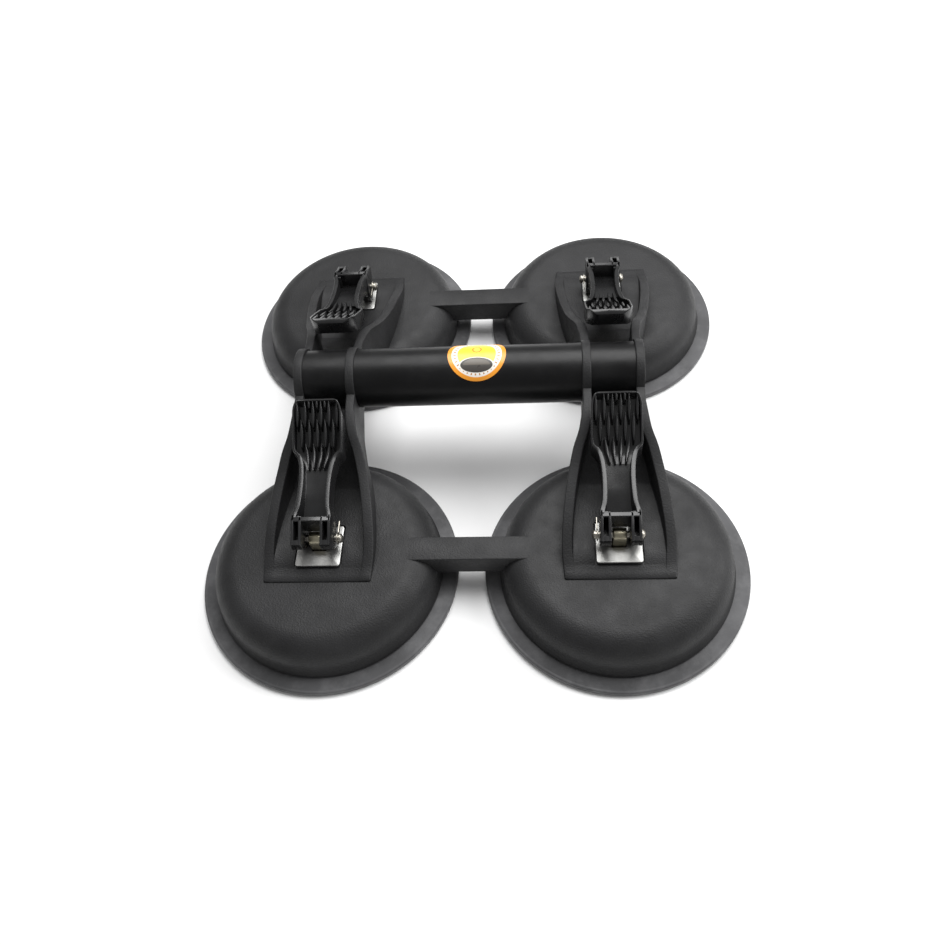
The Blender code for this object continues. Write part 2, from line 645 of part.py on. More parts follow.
clear_scene()
PARTS = new_collection("vacuum_lifter")
CUTTERS = new_collection("cutters")
ABS = new_material("black_abs", (0.022, 0.022, 0.024), 0.45)
RUBBER = new_material("pad_rubber", (0.045, 0.045, 0.048), 0.7)
STEEL = new_material("plate_steel", (0.78, 0.77, 0.74), 0.25, 1.0)
ZINC = new_material("disc_zinc", (0.55, 0.56, 0.58), 0.4, 1.0)
BRASS = new_material("stem_brass", (0.36, 0.32, 0.19), 0.45, 1.0)
NICKEL = new_material("pin_nickel", (0.72, 0.69, 0.62), 0.28, 1.0)
PAPER = new_material("label_vinyl", (0.95, 0.75, 0.05), 0.3)

STANDS = {}
for cup, (side_x, side_y) in CUPS.items():
    cup_stand = bpy.data.objects.new("stand_" + cup, None)
    CUTTERS.objects.link(cup_stand)
    cup_stand.location = (side_x * CUP_X, side_y * CUP_Y, 0)
    cup_stand.rotation_euler = (0, 0, 0 if side_y < 0 else math.pi)
    lever_axis = bpy.data.objects.new("axis_" + cup, None)
    CUTTERS.objects.link(lever_axis)
    place(lever_axis, cup_stand, (0, 0, PIN_HEIGHT))
    STANDS[side_x, side_y] = cup_stand
    outward = -side_x * side_y
    dome("dome_" + cup, cup_stand)
    pad("pad_" + cup, cup_stand)
    insert_disc("insert_disc_" + cup, cup_stand)
    stem("stem_" + cup, cup_stand)
    wear_plate("wear_plate_" + cup, cup_stand)
    pin("pin_" + cup, lever_axis, outward)
    clip("clip_" + cup, lever_axis, outward)
    lever("lever_" + cup, lever_axis)

for side_name, side_x in (("left", -1), ("right", 1)):
    arm("arm_" + side_name, side_x * CUP_X, {end: STANDS[side_x, end] for end in (-1, 1)})
    end_plug("end_plug_" + side_name, side_x)
for end_name, side_y in (("front", -1), ("rear", 1)):
    crossbar("crossbar_" + end_name, {side: STANDS[side, side_y] for side in (-1, 1)}, side_y * CUP_Y)
handle_tube("handle_tube")
label("label")
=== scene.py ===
"""Four-cup vacuum lifter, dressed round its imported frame.

Lengths are in millimetres unless said otherwise.
"""

import math

import bmesh
import bpy
from mathutils import Matrix, Vector


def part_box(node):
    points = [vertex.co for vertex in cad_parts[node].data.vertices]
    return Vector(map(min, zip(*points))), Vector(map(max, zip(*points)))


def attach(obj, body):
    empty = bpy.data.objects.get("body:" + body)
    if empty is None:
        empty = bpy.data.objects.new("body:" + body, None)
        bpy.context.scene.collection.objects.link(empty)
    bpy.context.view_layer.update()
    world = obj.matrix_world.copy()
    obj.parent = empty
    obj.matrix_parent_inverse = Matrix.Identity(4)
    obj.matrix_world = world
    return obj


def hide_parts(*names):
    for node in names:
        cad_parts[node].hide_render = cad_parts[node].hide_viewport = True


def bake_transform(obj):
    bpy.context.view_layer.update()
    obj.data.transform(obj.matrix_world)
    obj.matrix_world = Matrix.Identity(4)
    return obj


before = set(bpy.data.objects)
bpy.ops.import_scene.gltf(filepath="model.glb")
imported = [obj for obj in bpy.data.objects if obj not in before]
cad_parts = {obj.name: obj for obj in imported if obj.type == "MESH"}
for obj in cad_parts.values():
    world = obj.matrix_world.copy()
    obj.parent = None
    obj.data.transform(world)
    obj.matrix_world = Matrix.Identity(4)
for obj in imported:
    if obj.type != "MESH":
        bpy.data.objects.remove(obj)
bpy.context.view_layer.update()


# ---------------------------------------------------------------------------------------------
# Rubber suction pads. Each is one moulded disc of soft charcoal rubber with a flat sealing rim.
# A bead on its back plugs into the dome above, and its middle is clamped to the lifting stem.
# The rim always carries a little grey dust from handling.
# ---------------------------------------------------------------------------------------------

def metres(point):
    return Vector(point) * 0.001


def put_in_scene(name, mesh, material, sharp_above=40.0):
    """Make an object of a mesh, shade it smooth up to an angle and give it its material."""
    piece = bpy.data.objects.new(name, mesh)
    bpy.context.scene.collection.objects.link(piece)
    mesh.shade_smooth()
    mesh.set_sharp_from_angle(angle=math.radians(sharp_above))
    mesh.materials.append(material)
    return piece


def skinned(name, rings, closed_ends=True, round_trip=False):
    """Join a row of equal closed rings of points into one skin."""
    work = bmesh.new()
    rows = [[work.verts.new(metres(point)) for point in ring] for ring in rings]
    pairs = list(zip(rows, rows[1:]))
    if round_trip:
        pairs.append((rows[-1], rows[0]))
    for before, after in pairs:
        for index in range(len(before)):
            follow = (index + 1) % len(before)
            work.faces.new((before[index], before[follow], after[follow], after[index]))
    if closed_ends and not round_trip:
        work.faces.new(rows[0])
        work.faces.new(rows[-1])
    bmesh.ops.remove_doubles(work, verts=work.verts, dist=0.000001)
    bmesh.ops.dissolve_degenerate(work, edges=work.edges, dist=0.000001)
    bmesh.ops.recalc_face_normals(work, faces=work.faces)
    mesh = bpy.data.meshes.new(name)
    work.to_mesh(mesh)
    work.free()
    return mesh


def spun(name, profile, steps, middle=(0, 0, 0)):
    """Spin a closed profile of (radius, height) points about an upright line."""
    rings = []
    for step in range(steps):
        angle = math.tau * step / steps
        rings.append([(middle[0] + radius * math.cos(angle), middle[1] + radius * math.sin(angle),
                       middle[2] + height) for radius, height in profile])
    return skinned(name, rings, round_trip=True)


def sweep(centre, radius, start, end, steps=6):
    """Points along an arc between two angles in degrees."""
    angles = [math.radians(start + (end - start) * step / steps) for step in range(steps + 1)]
    return [(centre[0] + radius * math.cos(angle), centre[1] + radius * math.sin(angle))
            for angle in angles]


def moulding_material(name, colour, shine, grain, grain_height, gloss, dust=None, sheen=0.0):
    """A moulded finish: a fine grain in the surface, a little uneven in tone and in shine.

    shine is the range of roughness, grain the count of grains in a metre, gloss the strength of
    its reflections and dust a (colour, amount) pair.
    """
    material = bpy.data.materials.new(name)
    material.use_nodes = True
    nodes, links = material.node_tree.nodes, material.node_tree.links
    shader = nodes["Principled BSDF"]
    place = nodes.new("ShaderNodeTexCoord")

    def noise(scale, detail, roughness=0.5):
        texture = nodes.new("ShaderNodeTexNoise")
        texture.inputs["Scale"].default_value = scale
        texture.inputs["Detail"].default_value = detail
        texture.inputs["Roughness"].default_value = roughness
        links.new(place.outputs["Object"], texture.inputs["Vector"])
        return texture.outputs["Fac"]

    def spread(source, low, high, start=0.35, end=0.65):
        change = nodes.new("ShaderNodeMapRange")
        change.inputs["From Min"].default_value = start
        change.inputs["From Max"].default_value = end
        change.inputs["To Min"].default_value = low
        change.inputs["To Max"].default_value = high
        links.new(source, change.inputs["Value"])
        return change.outputs["Result"]

    def blended(share, first, second):
        mix = nodes.new("ShaderNodeMix")
        mix.data_type = "RGBA"
        links.new(share, mix.inputs[0])
        for socket, value in ((mix.inputs[6], first), (mix.inputs[7], second)):
            if isinstance(value, tuple):
                socket.default_value = (*value, 1.0)
            else:
                links.new(value, socket)
        return mix.outputs[2]

    broad = noise(35.0, 3.0)
    fine = noise(grain, 2.0)
    darker = tuple(0.8 * part for part in colour)
    lighter = tuple(1.25 * part for part in colour)
    tone = blended(spread(broad, 0.0, 1.0), darker, lighter)
    if dust is not None:
        dust_colour, amount = dust
        smudge = spread(noise(90.0, 5.0, 0.65), 0.0, amount, 0.48, 0.8)
        tone = blended(smudge, tone, dust_colour)
    links.new(tone, shader.inputs["Base Color"])
    links.new(spread(noise(120.0, 4.0), shine[0], shine[1]), shader.inputs["Roughness"])
    shader.inputs["Specular IOR Level"].default_value = gloss
    shader.inputs["Sheen Weight"].default_value = sheen
    shader.inputs["Sheen Roughness"].default_value = 0.5
    bump = nodes.new("ShaderNodeBump")
    bump.inputs["Strength"].default_value = 0.6
    bump.inputs["Distance"].default_value = grain_height
    links.new(fine, bump.inputs["Height"])
    links.new(bump.outputs["Normal"], shader.inputs["Normal"])
    return material


pad_rubber = moulding_material("pad_rubber", (0.066, 0.066, 0.069), (0.5, 0.66), 1400.0, 0.00006, 0.4,
                               dust=((0.20, 0.20, 0.205), 0.4), sheen=0.15)

pad_radius = 60.0
pad_rim = 3.3
pad_skin = 2.2
pad_lift = 3.6
bead_outer = 48.9
bead_inner = 46.5
bead_top = 6.3
hub_radius = 17.7
hub_pocket = 15.3
hub_top = 8.1
sealing_lips = (57.0, 52.5, 48.0)

low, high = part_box("pad_front_left")
cup_x = -(low.x + high.x) * 500
cup_y = -(low.y + high.y) * 500
cups = {"front_left": (-1, -1), "front_right": (1, -1), "rear_left": (-1, 1), "rear_right": (1, 1)}

for cup, (side, end) in cups.items():
    back = [(0, pad_lift + pad_skin), (hub_pocket, pad_lift + pad_skin), (hub_pocket, hub_top),
            (hub_radius - 0.4, hub_top), (hub_radius, hub_top - 0.4),
            (hub_radius + 0.5, pad_lift + pad_skin), (bead_inner - 3.0, pad_rim + 0.1),
            (bead_inner, pad_rim), (bead_inner, bead_top - 0.4), (bead_inner + 0.4, bead_top),
            (bead_outer - 0.4, bead_top), (bead_outer, bead_top - 0.4), (bead_outer, pad_rim)]
    edge = [(pad_radius - 1.9, pad_rim - 0.15), (pad_radius - 1.5, pad_rim - 0.42),
            (pad_radius - 1.1, pad_rim - 0.42)]
    edge += sweep((pad_radius - 0.8, pad_rim - 1.2), 0.8, 75, 0, 4)
    edge += [(pad_radius, 0.6)] + sweep((pad_radius - 0.5, 0.5), 0.5, -10, -90, 3)
    face = []
    for lip in sealing_lips:
        face += [(lip + 0.8, 0.0), (lip + 0.4, 0.35), (lip - 0.4, 0.35), (lip - 0.8, 0.0)]
    face += [(bead_inner - 2.2, 0.0), (36.0, 1.4), (26.0, 2.9), (hub_radius, pad_lift), (0, pad_lift)]
    middle = (side * cup_x, end * cup_y, 0)
    pad = put_in_scene("rubber_pad_" + cup, spun("rubber_pad_" + cup, back + edge + face, 144, middle),
                       pad_rubber, 50.0)
    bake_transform(pad)
    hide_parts("pad_" + cup)


# ---------------------------------------------------------------------------------------------
# Domes. Four round covers, part of the one big black ABS moulding that is the lifter's body.
# Each has a flat top, a big soft shoulder and a plain foot that bears on the rim of its pad.
# ---------------------------------------------------------------------------------------------

body_abs = moulding_material("body_abs", (0.018, 0.018, 0.0187), (0.46, 0.56), 1500.0, 0.0003, 0.26,
                             dust=((0.05, 0.05, 0.052), 0.12))

dome_top = 22.3
dome_foot = 3.6
dome_radius = 53.3
dome_wall = 2.6
dome_draft = 1.5
shoulder = 13.0
stem_hole = 5.0

for cup, (side, end) in cups.items():
    shoulder_out = dome_radius - dome_draft - shoulder
    outer = [(stem_hole, dome_top - dome_wall), (stem_hole, dome_top), (shoulder_out - 12, dome_top)]
    outer += sweep((shoulder_out, dome_top - shoulder), shoulder, 90, 0, 14)
    outer += [(dome_radius - 0.35, dome_foot + 1.6), (dome_radius - 0.1, dome_foot + 0.6),
              (dome_radius - 0.3, dome_foot + 0.1), (dome_radius - 0.6, dome_foot)]
    inner = [(dome_radius - dome_wall, dome_foot)]
    inner += sweep((shoulder_out, dome_top - shoulder), shoulder - dome_wall, 0, 90, 8)
    middle = (side * cup_x, end * cup_y, 0)
    dome = put_in_scene("dome_cover_" + cup, spun("dome_cover_" + cup, outer + inner, 144, middle), body_abs)
    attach(dome, "frame")
    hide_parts("dome_" + cup)


# ---------------------------------------------------------------------------------------------
# Arms. Two long channels of the same moulding, one over each pair of cups, front to rear.
# Their ribs swell from a waist at the handle to a blade over the cup and end in a low flat toe.
# In the middle the ribs rise round the handle as collars, and each floor has a seat for a plate.
# ---------------------------------------------------------------------------------------------

def shared(start, end, share):
    return start + (end - start) * share


def flowing(stations, at):
    """Height at a place of a smooth line through (place, height) stations."""
    for index in range(len(stations) - 1):
        (start, low_value), (stop, high_value) = stations[index], stations[index + 1]
        if at <= stop or index == len(stations) - 2:
            break
    before = stations[max(index - 1, 0)]
    after = stations[min(index + 2, len(stations) - 1)]
    span = stop - start
    leave = (high_value - before[1]) / (stop - before[0]) * span
    arrive = (after[1] - low_value) / (after[0] - start) * span
    share = (at - start) / span
    return (low_value * (2 * share ** 3 - 3 * share ** 2 + 1) + leave * (share ** 3 - 2 * share ** 2 + share)
            + high_value * (3 * share ** 2 - 2 * share ** 3) + arrive * (share ** 3 - share ** 2))


def channel_section(outer, inner, ridge, floor, foot, roof, edge):
    """Closed (across, height) outline of a channel: two ribs on a floor, hollow below up to a roof."""
    floor = min(floor, ridge)
    rise = ridge - floor
    soft = max(min(edge, 0.45 * (outer - inner), 0.5 * rise), 0.01)
    corner = max(min(edge, 0.4 * rise), 0.01)
    half = [(0, roof), (inner - 0.3, roof), (inner, roof - min(0.3, (roof - foot) / 2)), (inner, foot),
            (outer - 0.3, foot), (outer, foot + 0.3)]
    half += sweep((outer - edge, ridge - edge), edge, 0, 90, 3)
    half += sweep((inner + soft, ridge - soft), soft, 90, 180, 3)
    half += sweep((inner - corner, floor + corner), corner, 0, -90, 3)
    half += [(0, floor)]
    return half + [(-across, height) for across, height in reversed(half[1:-1])]


def carved(piece, tools):
    """Cut the tools out of a piece for good."""
    for tool in tools:
        modifier = piece.modifiers.new("cut", "BOOLEAN")
        modifier.object = tool
        modifier.solver = "EXACT"
    bpy.context.view_layer.update()
    graph = bpy.context.evaluated_depsgraph_get()
    result = bpy.data.meshes.new_from_object(piece.evaluated_get(graph))
    piece.modifiers.clear()
    piece.data = result
    result.shade_smooth()
    result.set_sharp_from_angle(angle=math.radians(40.0))
    for tool in tools:
        bpy.data.objects.remove(tool, do_unlink=True)
    return piece


def cutting_cylinder(radius, start, end, steps=64):
    """A throwaway cylinder between two points, to cut with."""
    start, end = metres(start), metres(end)
    work = bmesh.new()
    turn = (end - start).to_track_quat("Z", "Y").to_matrix().to_4x4()
    bmesh.ops.create_cone(work, cap_ends=True, segments=steps, radius1=radius * 0.001, radius2=radius * 0.001,
                          depth=(end - start).length, matrix=Matrix.Translation((start + end) / 2) @ turn)
    mesh = bpy.data.meshes.new("cutter")
    work.to_mesh(mesh)
    work.free()
    tool = bpy.data.objects.new("cutter", mesh)
    bpy.context.scene.collection.objects.link(tool)
    return tool


def rounded_rectangle(half_across, half_along, corner, steps=4):
    """Outline of a rectangle with round corners, about the origin."""
    outline = []
    for x, y, start in ((1, 1, 0), (-1, 1, 90), (-1, -1, 180), (1, -1, 270)):
        outline += sweep((x * (half_across - corner), y * (half_along - corner)), corner,
                         start, start + 90, steps)
    return outline


handle_height = 48.1
collar_radius = 15.7
handle_radius = 13.7
arm_waist = 14.0
arm_blade = 24.7
arm_end = cup_y + 16.3
arm_near = collar_radius + 4.3
arm_rib = 4.6
neck_rib = 4.0
toe_top = dome_top + 0.9
neck_top = handle_height + 5.0
collar_top = 14.7
neck_place = math.sqrt(collar_top ** 2 - (neck_top - handle_height) ** 2)
arm_floor = 25.5
arm_floor_wall = 3.2
toe_length = 6.0
ramp_end = 47.7
saddle = handle_height - 4.1
arm_belly = handle_height - collar_radius
arm_foot = dome_top - 6.0
foot_place = 33.7
hollow_start, hollow_end = collar_radius + 2.0, 39.7
rib_edge = 0.55
plate_seat = 10.7
plate_seat_floor = 23.8

widths = [(arm_near, arm_waist)] + [
    (shared(arm_near, cup_y, along), shared(arm_waist, arm_blade, across))
    for along, across in ((0.207, 0.19), (0.345, 0.467), (0.62, 0.785), (1.0, 1.0))]
widths += [(arm_end, arm_blade - 0.8)]
ridges = [(neck_place, neck_top)] + [
    (shared(collar_radius, arm_end, along), shared(toe_top, neck_top, rise))
    for along, rise in ((0.102, 0.93), (0.204, 0.83), (0.307, 0.683), (0.409, 0.547))]
ridges += [(70.0, 31.6), (arm_end - 5.5, 24.1), (arm_end, toe_top)]


def arm_section(along):
    """Section of an arm at a distance from the handle's axis."""
    reach = abs(along)
    outer = arm_waist if reach < arm_near else flowing(widths, reach)
    inner = outer - shared(neck_rib, arm_rib, min(max((reach - arm_near) / 6.0, 0), 1))
    if reach < neck_place:
        ridge = handle_height + math.sqrt(collar_top ** 2 - reach ** 2)
    else:
        ridge = flowing(ridges, reach)
    floor = shared(saddle, arm_floor, min(max((reach - collar_radius) / (ramp_end - collar_radius), 0), 1))
    foot = shared(arm_belly, arm_foot,
                  min(max((reach - collar_radius / 2) / (foot_place - collar_radius / 2), 0), 1))
    roof = foot
    if hollow_start <= reach <= hollow_end:
        roof = max(floor - arm_floor_wall, foot)
    floor = ridge if reach > arm_end - toe_length else min(floor, ridge - 0.3)
    return channel_section(outer, inner, ridge, floor, foot, roof, rib_edge)


for side_name, side in (("left", -1), ("right", 1)):
    places = [collar_radius * math.sin(math.radians(3.5 * step)) for step in range(21)]
    places += [neck_place + 0.05, collar_radius, hollow_start - 0.01, hollow_start, arm_near]
    places += [arm_near + 1.6 * step for step in range(1, 12)]
    places += [hollow_end, hollow_end + 0.01, 42.0, 45.0, ramp_end - 0.4, ramp_end + 0.4]
    places += [50.5 + 3.0 * step for step in range(13)]
    places += [arm_end - toe_length - 0.4, arm_end - toe_length, arm_end - 3.0, arm_end - 0.5]
    places = sorted(set(place for place in places if place < arm_end))
    places = [-place for place in reversed(places[1:])] + places
    rings = [[(side * cup_x + across, along, height) for across, height in arm_section(along)]
             for along in places]
    tip = [(across * (1 - 0.45 / arm_blade), height - 0.45 if height > arm_foot + 4 else height)
           for across, height in arm_section(arm_end)]
    rings.insert(0, [(side * cup_x + across, -arm_end, height) for across, height in tip])
    rings.append([(side * cup_x + across, arm_end, height) for across, height in tip])
    arm = put_in_scene("channel_arm_" + side_name, skinned("channel_arm_" + side_name, rings), body_abs, 35.0)
    bore = cutting_cylinder(handle_radius + 0.02, (side * cup_x - 40, 0, handle_height),
                            (side * cup_x + 40, 0, handle_height), 96)
    tools = [bore]
    for end in (-1, 1):
        outline = rounded_rectangle(plate_seat, plate_seat, 1.6)
        seat = put_in_scene("cutter", skinned("cutter", [
            [(side * cup_x + x, end * cup_y + y, height) for x, y in outline]
            for height in (plate_seat_floor, arm_floor + 9)]), body_abs)
        tools.append(seat)
        tools.append(cutting_cylinder(stem_hole, (side * cup_x, end * cup_y, 5),
                                      (side * cup_x, end * cup_y, arm_floor + 5), 48))
    carved(arm, tools)
    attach(arm, "frame")
    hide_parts("arm_" + side_name)


# ---------------------------------------------------------------------------------------------
# Crossbars. Two short upside-down channels of the moulding that tie the domes left to right.
# Their tops run flush into the tops of the domes.
# ---------------------------------------------------------------------------------------------

bar_half_width = 5.8
bar_depth = 12.0
bar_wall = 2.6
bar_end = 28.0
trough_end = 12.2

for end_name, end in (("front", -1), ("rear", 1)):
    rings = []
    for along in (-bar_end, -trough_end - 0.01, -trough_end, 0, trough_end, trough_end + 0.01, bar_end):
        low_side = dome_top - bar_depth
        roof = dome_top - bar_wall if abs(along) <= trough_end else low_side
        inside = bar_half_width - bar_wall
        top = dome_top - 0.02
        half = [(0, roof), (inside, roof), (inside, low_side), (bar_half_width - 0.4, low_side),
                (bar_half_width, low_side + 0.4)]
        half += sweep((bar_half_width - 0.45, top - 0.45), 0.45, 0, 90, 3) + [(0, top)]
        section = half + [(-across, height) for across, height in reversed(half[1:-1])]
        rings.append([(along, end * cup_y + across, height) for across, height in section])
    bar = put_in_scene("tie_bar_" + end_name, skinned("tie_bar_" + end_name, rings), body_abs)
    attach(bar, "frame")
    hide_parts("crossbar_" + end_name)


# ---------------------------------------------------------------------------------------------
# Handle tube. A straight round ABS grip held in the collars of both arms, smooth and a little
# shinier than the body where hands polish it. A push-in cap closes each of its ends.
# ---------------------------------------------------------------------------------------------

handle_abs = moulding_material("handle_abs", (0.0045, 0.0045, 0.0048), (0.34, 0.42), 1500.0, 0.00005, 0.24,
                               dust=((0.05, 0.05, 0.052), 0.08))

handle_half = cup_x + arm_waist
handle_bore = handle_radius - 3.0

# Profiles here are spun about Z and then laid along X
lay_along_x = Matrix.Rotation(math.pi / 2, 4, "Y")
lift_to_handle = Matrix.Translation(metres((0, 0, handle_height)))

tube_profile = [(handle_bore, handle_half - 0.3), (handle_bore + 0.3, handle_half),
                (handle_radius - 0.4, handle_half), (handle_radius, handle_half - 0.4)]
tube_profile += [(handle_radius, handle_half * step / 10) for step in range(9, -10, -1)]
tube_profile += [(radius, -along) for radius, along in reversed(tube_profile[:4])]
tube_mesh = spun("grip_tube", tube_profile, 128)
tube_mesh.transform(lift_to_handle @ lay_along_x)
tube = put_in_scene("grip_tube", tube_mesh, handle_abs)
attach(tube, "frame")
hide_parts("handle_tube")

plug_radius = handle_bore - 0.25
plug_depth = 3.0
plug_wall = 1.5

for side_name, side in (("left", -1), ("right", 1)):
    face = [(0, -0.25), (plug_radius - 1.6, -0.25), (plug_radius - 1.3, -0.05), (plug_radius - 0.4, -0.05)]
    back = [(plug_radius, -0.45), (plug_radius, -plug_depth), (plug_radius - plug_wall, -plug_depth),
            (plug_radius - plug_wall, -plug_wall), (0, -plug_wall)]
    plug_mesh = spun("end_cap_" + side_name, face + back, 96)
    plug_mesh.transform(Matrix.Translation(metres((side * handle_half, 0, handle_height)))
                        @ Matrix.Rotation(side * math.pi / 2, 4, "Y"))
    plug = put_in_scene("end_cap_" + side_name, plug_mesh, handle_abs)
    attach(plug, "frame")
    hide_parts("end_plug_" + side_name)


# ---------------------------------------------------------------------------------------------
# Label. A round sticker of thin glossy vinyl that wraps over the top of the handle.
# It has an orange rim, a white ring and a yellow field with a dark lens, and no words.
# ---------------------------------------------------------------------------------------------

label_radius = 13.4
label_x = 4.5
label_tilt = math.radians(93.0)
label_lift = 0.22


def label_material():
    """Rings by distance from the label's middle, in its flat sheet."""
    material = bpy.data.materials.new("printed_label")
    material.use_nodes = True
    nodes, links = material.node_tree.nodes, material.node_tree.links
    shader = nodes["Principled BSDF"]
    sheet = nodes.new("ShaderNodeAttribute")
    sheet.attribute_name = "flat_sheet"
    parts = nodes.new("ShaderNodeSeparateXYZ")
    links.new(sheet.outputs["Vector"], parts.inputs["Vector"])

    def worked(operation, first, second=None, third=None):
        step = nodes.new("ShaderNodeMath")
        step.operation = operation
        for socket, value in zip(step.inputs, (first, second, third)):
            if value is None:
                continue
            if isinstance(value, (int, float)):
                socket.default_value = value
            else:
                links.new(value, socket)
        return step.outputs[0]

    def laid_over(share, below, colour):
        mix = nodes.new("ShaderNodeMix")
        mix.data_type = "RGBA"
        links.new(share, mix.inputs[0])
        if isinstance(below, tuple):
            mix.inputs[6].default_value = (*below, 1.0)
        else:
            links.new(below, mix.inputs[6])
        mix.inputs[7].default_value = (*colour, 1.0)
        return mix.outputs[2]

    across, up = parts.outputs["X"], parts.outputs["Y"]
    reach = worked("SQRT", worked("ADD", worked("MULTIPLY", across, across), worked("MULTIPLY", up, up)))

    def inside(radius, source=reach):
        return worked("LESS_THAN", source, radius)

    turn = worked("ARCTAN2", up, across)
    ticks = worked("GREATER_THAN", worked("SINE", worked("MULTIPLY", turn, 34.0)), 0.55)
    tick_band = worked("MULTIPLY", worked("GREATER_THAN", reach, 0.71), worked("LESS_THAN", reach, 0.80))
    stretched = worked("MULTIPLY", worked("ADD", up, 0.43), 2.0)
    lens_reach = worked("SQRT", worked("ADD", worked("MULTIPLY", across, across),
                                       worked("MULTIPLY", stretched, stretched)))
    sun_up = worked("SUBTRACT", up, 0.24)
    sun_reach = worked("SQRT", worked("ADD", worked("MULTIPLY", across, across),
                                      worked("MULTIPLY", sun_up, sun_up)))
    tone = laid_over(inside(0.86), (0.86, 0.33, 0.03), (0.83, 0.80, 0.74))
    tone = laid_over(worked("MULTIPLY", ticks, tick_band), tone, (0.45, 0.2, 0.05))
    tone = laid_over(inside(0.66), tone, (0.93, 0.76, 0.05))
    tone = laid_over(inside(0.17, sun_reach), tone, (0.78, 0.25, 0.03))
    tone = laid_over(inside(0.12, sun_reach), tone, (0.93, 0.72, 0.10))
    tone = laid_over(inside(0.60, lens_reach), tone, (0.80, 0.77, 0.7))
    tone = laid_over(inside(0.55, lens_reach), tone, (0.055, 0.05, 0.045))
    tone = laid_over(worked("MULTIPLY", inside(0.46, lens_reach), worked("GREATER_THAN", up, -0.43)),
                     tone, (0.12, 0.105, 0.085))
    links.new(tone, shader.inputs["Base Color"])
    scuff = nodes.new("ShaderNodeTexNoise")
    scuff.inputs["Scale"].default_value = 300.0
    place = nodes.new("ShaderNodeTexCoord")
    links.new(place.outputs["Object"], scuff.inputs["Vector"])
    wear = nodes.new("ShaderNodeMapRange")
    wear.inputs["To Min"].default_value = 0.22
    wear.inputs["To Max"].default_value = 0.4
    links.new(scuff.outputs["Fac"], wear.inputs["Value"])
    links.new(wear.outputs["Result"], shader.inputs["Roughness"])
    return material


def label_sheet():
    """The sheet as rings of points that follow the tube, with their places in the flat sheet."""
    work = bmesh.new()
    flat = work.verts.layers.float_vector.new("flat_sheet")

    def wrapped(reach, turn, lift):
        across, along = reach * math.cos(turn), reach * math.sin(turn)
        radius = handle_radius + lift
        angle = label_tilt + along / (handle_radius + label_lift)
        vert = work.verts.new(metres((label_x + across, -radius * math.cos(angle),
                                      handle_height + radius * math.sin(angle))))
        vert[flat] = (across / label_radius, along / label_radius, 0)
        return vert

    rings, steps = 22, 72
    sheets = []
    for lift in (label_lift, 0.02):
        rows = [[wrapped(0.9999 * label_radius * ring / rings, math.tau * step / steps, lift)
                 for step in range(steps)] for ring in range(1, rings + 1)]
        middle = wrapped(0, 0, lift)
        for step in range(steps):
            follow = (step + 1) % steps
            work.faces.new((middle, rows[0][step], rows[0][follow]))
            for inside_row, outside_row in zip(rows, rows[1:]):
                work.faces.new((inside_row[step], outside_row[step], outside_row[follow], inside_row[follow]))
        sheets.append(rows)
    for step in range(steps):
        follow = (step + 1) % steps
        over, under = sheets[0][-1], sheets[1][-1]
        work.faces.new((over[step], under[step], under[follow], over[follow]))
    bmesh.ops.recalc_face_normals(work, faces=work.faces)
    mesh = bpy.data.meshes.new("handle_label")
    work.to_mesh(mesh)
    work.free()
    return mesh


sticker = put_in_scene("handle_label", label_sheet(), label_material())
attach(sticker, "frame")
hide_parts("label")


# ---------------------------------------------------------------------------------------------
# Wear plates. Square plates of bright stainless sheet, stamped with a slot for the stem.
# Each drops into the seat in its arm's floor and takes the rub of the cams.
# ---------------------------------------------------------------------------------------------

def metal_material(name, colour, shine, scratches, stretch=(1, 1, 1), tarnish=None):
    """A metal with fine scratches along one way and an uneven shine."""
    material = bpy.data.materials.new(name)
    material.use_nodes = True
    nodes, links = material.node_tree.nodes, material.node_tree.links
    shader = nodes["Principled BSDF"]
    shader.inputs["Metallic"].default_value = 1.0
    place = nodes.new("ShaderNodeTexCoord")
    drawn = nodes.new("ShaderNodeMapping")
    drawn.inputs["Scale"].default_value = stretch
    links.new(place.outputs["Object"], drawn.inputs["Vector"])
    lines = nodes.new("ShaderNodeTexNoise")
    lines.inputs["Scale"].default_value = 900.0
    lines.inputs["Detail"].default_value = 3.0
    links.new(drawn.outputs["Vector"], lines.inputs["Vector"])
    rough = nodes.new("ShaderNodeMapRange")
    rough.inputs["From Min"].default_value = 0.3
    rough.inputs["From Max"].default_value = 0.7
    rough.inputs["To Min"].default_value = shine[0]
    rough.inputs["To Max"].default_value = shine[1]
    links.new(lines.outputs["Fac"], rough.inputs["Value"])
    links.new(rough.outputs["Result"], shader.inputs["Roughness"])
    stains = nodes.new("ShaderNodeTexNoise")
    stains.inputs["Scale"].default_value = 220.0
    stains.inputs["Detail"].default_value = 4.0
    links.new(place.outputs["Object"], stains.inputs["Vector"])
    mix = nodes.new("ShaderNodeMix")
    mix.data_type = "RGBA"
    mix.inputs[6].default_value = (*colour, 1.0)
    mix.inputs[7].default_value = (*(tarnish or tuple(0.75 * part for part in colour)), 1.0)
    links.new(stains.outputs["Fac"], mix.inputs[0])
    links.new(mix.outputs[2], shader.inputs["Base Color"])
    bump = nodes.new("ShaderNodeBump")
    bump.inputs["Strength"].default_value = scratches
    bump.inputs["Distance"].default_value = 0.00002
    links.new(lines.outputs["Fac"], bump.inputs["Height"])
    links.new(bump.outputs["Normal"], shader.inputs["Normal"])
    return material


plate_steel = metal_material("plate_steel", (0.50, 0.50, 0.485), (0.44, 0.52), 0.04, (1, 0.05, 1))

plate_half = 10.0
plate_corner = 1.1
plate_top = 25.9
plate_thickness = 1.2
slot_across, slot_along = 3.3, 2.8

